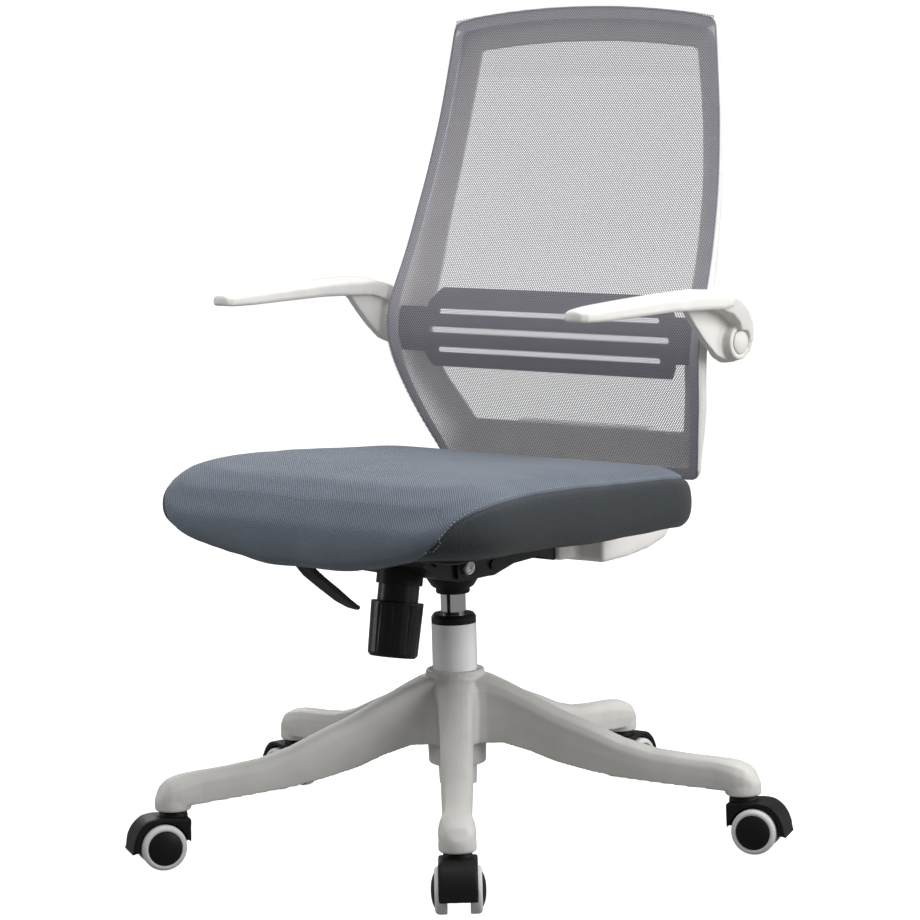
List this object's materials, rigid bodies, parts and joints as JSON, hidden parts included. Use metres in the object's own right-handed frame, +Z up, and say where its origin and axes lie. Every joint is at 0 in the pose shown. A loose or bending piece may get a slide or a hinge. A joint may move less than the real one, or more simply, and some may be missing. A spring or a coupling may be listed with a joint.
{
  "type": "swivel office chair",
  "caption": "Swivel office chair with a mesh back in a white frame, flip-up armrests, padded seat, gas column and a star base on casters.",
  "frame": {"origin": "middle of the chair's footprint, at floor level, with the casters trailing outward", "axes": "+Z up, the sitter faces -Y, +X is the sitter's left"},
  "size_m": [0.7306, 0.7114, 0.9165],
  "materials": {
    "white_plastic": "fine satin grain",
    "black_plastic": "fine matt grain",
    "chrome": "polished",
    "bright_steel": "machined",
    "black_steel": "powder coat",
    "white_steel": "gloss white coat",
    "wheel_plastic": "soft grey tread on a black hub",
    "mesh_fabric": "open knitted mesh",
    "carrier_plastic": "matt",
    "seat_fabric": "fine woven twill"
  },
  "bodies": {
    "base": {"star_base": "white_plastic", "column_tube": "white_steel", "guide_bush": "black_plastic"},
    "piston": {"piston_rod": "bright_steel", "thrust_bearing": "bright_steel", "retaining_clip": "bright_steel"},
    "mechanism": {"gas_cylinder": "chrome", "dust_collar": "black_plastic", "mechanism_housing": "black_steel", "seat_axle": "bright_steel", "recline_bolt": "bright_steel", "spring_housing": "black_plastic", "tilt_spring": "bright_steel", "tension_bolt": "bright_steel"},
    "release_button": {"release_button": "bright_steel"},
    "tension_knob": {"tension_knob": "black_plastic"},
    "height_lever": {"lever_rod": "bright_steel", "lever_paddle": "black_plastic"},
    "seat": {"seat_plate": "black_steel", "seat_pan": "black_plastic", "seat_cushion": "seat_fabric"},
    "back": {"back_arm": "black_steel", "arm_rivet_left": "black_steel", "arm_rivet_right": "black_steel", "back_bracket": "white_plastic", "back_shell": "white_plastic", "mesh_carrier": "carrier_plastic", "back_mesh": "mesh_fabric", "lumbar_plate": "carrier_plastic", "arm_bracket_left": "white_plastic", "arm_bracket_right": "white_plastic"},
    "armrest_left": {"armrest_left": "white_plastic", "arm_cap_left": "white_plastic"},
    "armrest_right": {"armrest_right": "white_plastic", "arm_cap_right": "white_plastic"},
    "caster_1_fork": {"caster_1_stem": "bright_steel", "caster_1_hood": "black_plastic", "caster_1_axle": "bright_steel"},
    "caster_1_wheel_a": {"caster_1_wheel_a": "wheel_plastic"},
    "caster_1_wheel_b": {"caster_1_wheel_b": "wheel_plastic"},
    "caster_2_fork": {"caster_2_stem": "bright_steel", "caster_2_hood": "black_plastic", "caster_2_axle": "bright_steel"},
    "caster_2_wheel_a": {"caster_2_wheel_a": "wheel_plastic"},
    "caster_2_wheel_b": {"caster_2_wheel_b": "wheel_plastic"},
    "caster_3_fork": {"caster_3_stem": "bright_steel", "caster_3_hood": "black_plastic", "caster_3_axle": "bright_steel"},
    "caster_3_wheel_a": {"caster_3_wheel_a": "wheel_plastic"},
    "caster_3_wheel_b": {"caster_3_wheel_b": "wheel_plastic"},
    "caster_4_fork": {"caster_4_stem": "bright_steel", "caster_4_hood": "black_plastic", "caster_4_axle": "bright_steel"},
    "caster_4_wheel_a": {"caster_4_wheel_a": "wheel_plastic"},
    "caster_4_wheel_b": {"caster_4_wheel_b": "wheel_plastic"},
    "caster_5_fork": {"caster_5_stem": "bright_steel", "caster_5_hood": "black_plastic", "caster_5_axle": "bright_steel"},
    "caster_5_wheel_a": {"caster_5_wheel_a": "wheel_plastic"},
    "caster_5_wheel_b": {"caster_5_wheel_b": "wheel_plastic"}
  },
  "joints": [
    {"name": "caster_1_swivel", "type": "hinge", "parent": "base", "child": "caster_1_fork", "pos_m": [0.21775, -0.27275, 0.07], "axis": [0, 0, 1], "continuous": true},
    {"name": "caster_1_roll_a", "type": "hinge", "parent": "caster_1_fork", "child": "caster_1_wheel_a", "pos_m": [0.22776, -0.2846, 0.025], "axis": [0.764, 0.6452, 0], "continuous": true},
    {"name": "caster_1_roll_b", "type": "hinge", "parent": "caster_1_fork", "child": "caster_1_wheel_b", "pos_m": [0.22776, -0.2846, 0.025], "axis": [0.764, 0.6452, 0], "continuous": true},
    {"name": "caster_2_swivel", "type": "hinge", "parent": "base", "child": "caster_2_fork", "pos_m": [0.30944, 0.09996, 0.07], "axis": [0, 0, 1], "continuous": true},
    {"name": "caster_2_roll_a", "type": "hinge", "parent": "caster_2_fork", "child": "caster_2_wheel_a", "pos_m": [0.32379, 0.10581, 0.025], "axis": [-0.3775, 0.926, 0], "continuous": true},
    {"name": "caster_2_roll_b", "type": "hinge", "parent": "caster_2_fork", "child": "caster_2_wheel_b", "pos_m": [0.32379, 0.10581, 0.025], "axis": [-0.3775, 0.926, 0], "continuous": true},
    {"name": "caster_3_swivel", "type": "hinge", "parent": "base", "child": "caster_3_fork", "pos_m": [-0.0167, 0.30233, 0.07], "axis": [0, 0, 1], "continuous": true},
    {"name": "caster_3_roll_a", "type": "hinge", "parent": "caster_3_fork", "child": "caster_3_wheel_a", "pos_m": [-0.01783, 0.31779, 0.025], "axis": [-0.9973, -0.0729, 0], "continuous": true},
    {"name": "caster_3_roll_b", "type": "hinge", "parent": "caster_3_fork", "child": "caster_3_wheel_b", "pos_m": [-0.01783, 0.31779, 0.025], "axis": [-0.9973, -0.0729, 0], "continuous": true},
    {"name": "caster_4_swivel", "type": "hinge", "parent": "base", "child": "caster_4_fork", "pos_m": [-0.30995, 0.05469, 0.07], "axis": [0, 0, 1], "continuous": true},
    {"name": "caster_4_roll_a", "type": "hinge", "parent": "caster_4_fork", "child": "caster_4_wheel_a", "pos_m": [-0.325, 0.05839, 0.025], "axis": [-0.2389, -0.9711, 0], "continuous": true},
    {"name": "caster_4_roll_b", "type": "hinge", "parent": "caster_4_fork", "child": "caster_4_wheel_b", "pos_m": [-0.325, 0.05839, 0.025], "axis": [-0.2389, -0.9711, 0], "continuous": true},
    {"name": "caster_5_swivel", "type": "hinge", "parent": "base", "child": "caster_5_fork", "pos_m": [-0.16505, -0.30073, 0.07], "axis": [0, 0, 1], "continuous": true},
    {"name": "caster_5_roll_a", "type": "hinge", "parent": "caster_5_fork", "child": "caster_5_wheel_a", "pos_m": [-0.17322, -0.3139, 0.025], "axis": [0.8497, -0.5273, 0], "continuous": true},
    {"name": "caster_5_roll_b", "type": "hinge", "parent": "caster_5_fork", "child": "caster_5_wheel_b", "pos_m": [-0.17322, -0.3139, 0.025], "axis": [0.8497, -0.5273, 0], "continuous": true},
    {"name": "seat_swivel", "type": "hinge", "parent": "base", "child": "piston", "pos_m": [0.0071, -0.0233, 0.07], "axis": [0, 0, 1], "continuous": true},
    {"name": "gas_lift", "type": "slide", "parent": "piston", "child": "mechanism", "axis": [0, 0, 1], "range_m": [0, 0.1]},
    {"name": "button_press", "type": "slide", "parent": "mechanism", "child": "release_button", "axis": [0, 0, -1], "range_m": [0, 0.004], "stiffness_N_per_m": 400},
    {"name": "height_lever_lift", "type": "hinge", "parent": "mechanism", "child": "height_lever", "pos_m": [-0.0379, -0.0853, 0.321], "axis": [0, 1, 0], "range_deg": [0, 5.5]},
    {"name": "tension_knob_turn", "type": "hinge", "parent": "mechanism", "child": "tension_knob", "pos_m": [0.0071, -0.1113, 0.306], "axis": [0, 0.1874, 0.9823], "range_deg": [0, 900]},
    {"name": "back_recline", "type": "hinge", "parent": "mechanism", "child": "back", "pos_m": [0.0071, -0.0693, 0.316], "axis": [-1, 0, 0], "range_deg": [0, 18], "stiffness_Nm_per_rad": 60, "springref_deg": -25.78},
    {"name": "seat_tilt", "type": "hinge", "parent": "mechanism", "child": "seat", "pos_m": [0.0071, -0.1113, 0.331], "axis": [-1, 0, 0], "range_deg": [0, 5.4]},
    {"name": "armrest_left_flip", "type": "hinge", "parent": "back", "child": "armrest_left", "pos_m": [0.2521, 0.1717, 0.548], "axis": [-1, 0, 0], "range_deg": [0, 90]},
    {"name": "armrest_right_flip", "type": "hinge", "parent": "back", "child": "armrest_right", "pos_m": [-0.2379, 0.1717, 0.548], "axis": [-1, 0, 0], "range_deg": [0, 90]}
  ],
  "couplings": [
    {"joint": "seat_tilt", "follows": "back_recline", "ratio": 0.3},
    {"joint": "button_press", "follows": "height_lever_lift", "m_per_rad": 0.0415}
  ]
}
